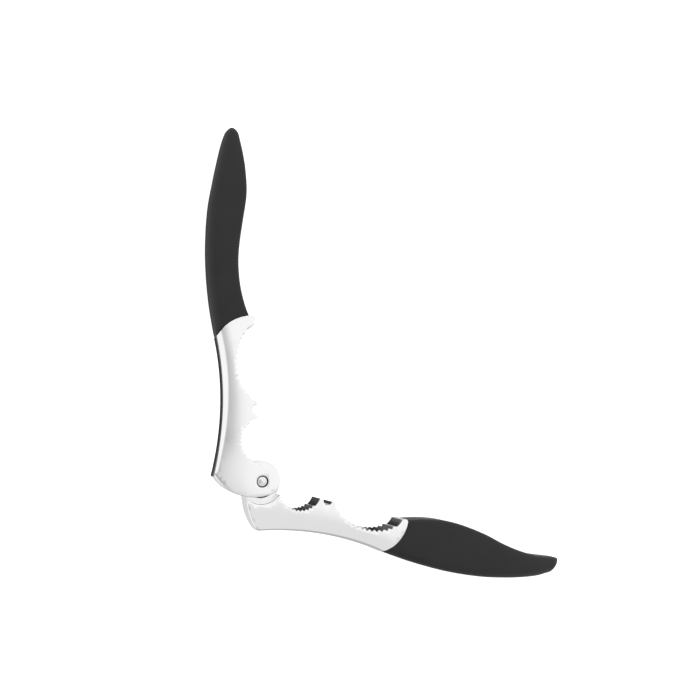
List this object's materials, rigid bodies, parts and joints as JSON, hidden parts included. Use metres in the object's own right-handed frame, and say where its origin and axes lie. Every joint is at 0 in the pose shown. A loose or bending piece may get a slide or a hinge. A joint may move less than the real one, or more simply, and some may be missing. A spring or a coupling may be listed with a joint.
{
  "type": "hinged nutcracker",
  "caption": "Hinged hand nutcracker: cast metal levers with toothed walnut and hazelnut pockets, turning on a riveted pin, with nested soft black grips.",
  "frame": {"origin": "on the axis of the hinge pin, in the plane that the tool lies on (z = 0)", "axes": "the tool lies on its side, fully open; +X runs from the hinge along the lower lever's closing line towards its grip, +Y is the side of the upper lever, +Z is along the hinge pin, up from the resting surface"},
  "size_m": [0.2527, 0.1988, 0.015],
  "materials": {
    "cast_metal": "satin plating on cast zinc, brighter along the rounded edges",
    "pin_steel": "plain turned steel",
    "washer_plastic": "dark nylon",
    "core_plastic": "hard moulded plastic",
    "soft_grip": "soft-touch matt black"
  },
  "bodies": {
    "lower_side": {"lower_lever": "cast_metal", "lower_washer": "washer_plastic", "upper_washer": "washer_plastic", "lower_grip_core": "core_plastic", "lower_grip_skin": "soft_grip", "lower_front_cross_pin": "pin_steel", "lower_rear_cross_pin": "pin_steel"},
    "upper_side": {"upper_lever": "cast_metal", "hinge_pin": "pin_steel", "upper_grip_core": "core_plastic", "upper_grip_skin": "soft_grip", "upper_front_cross_pin": "pin_steel", "upper_rear_cross_pin": "pin_steel"}
  },
  "joints": [
    {"name": "lever_hinge", "type": "hinge", "parent": "lower_side", "child": "upper_side", "pos_m": [0, 0, 0.0075], "axis": [0, 0, 1], "range_deg": [-108.6, 0]}
  ]
}
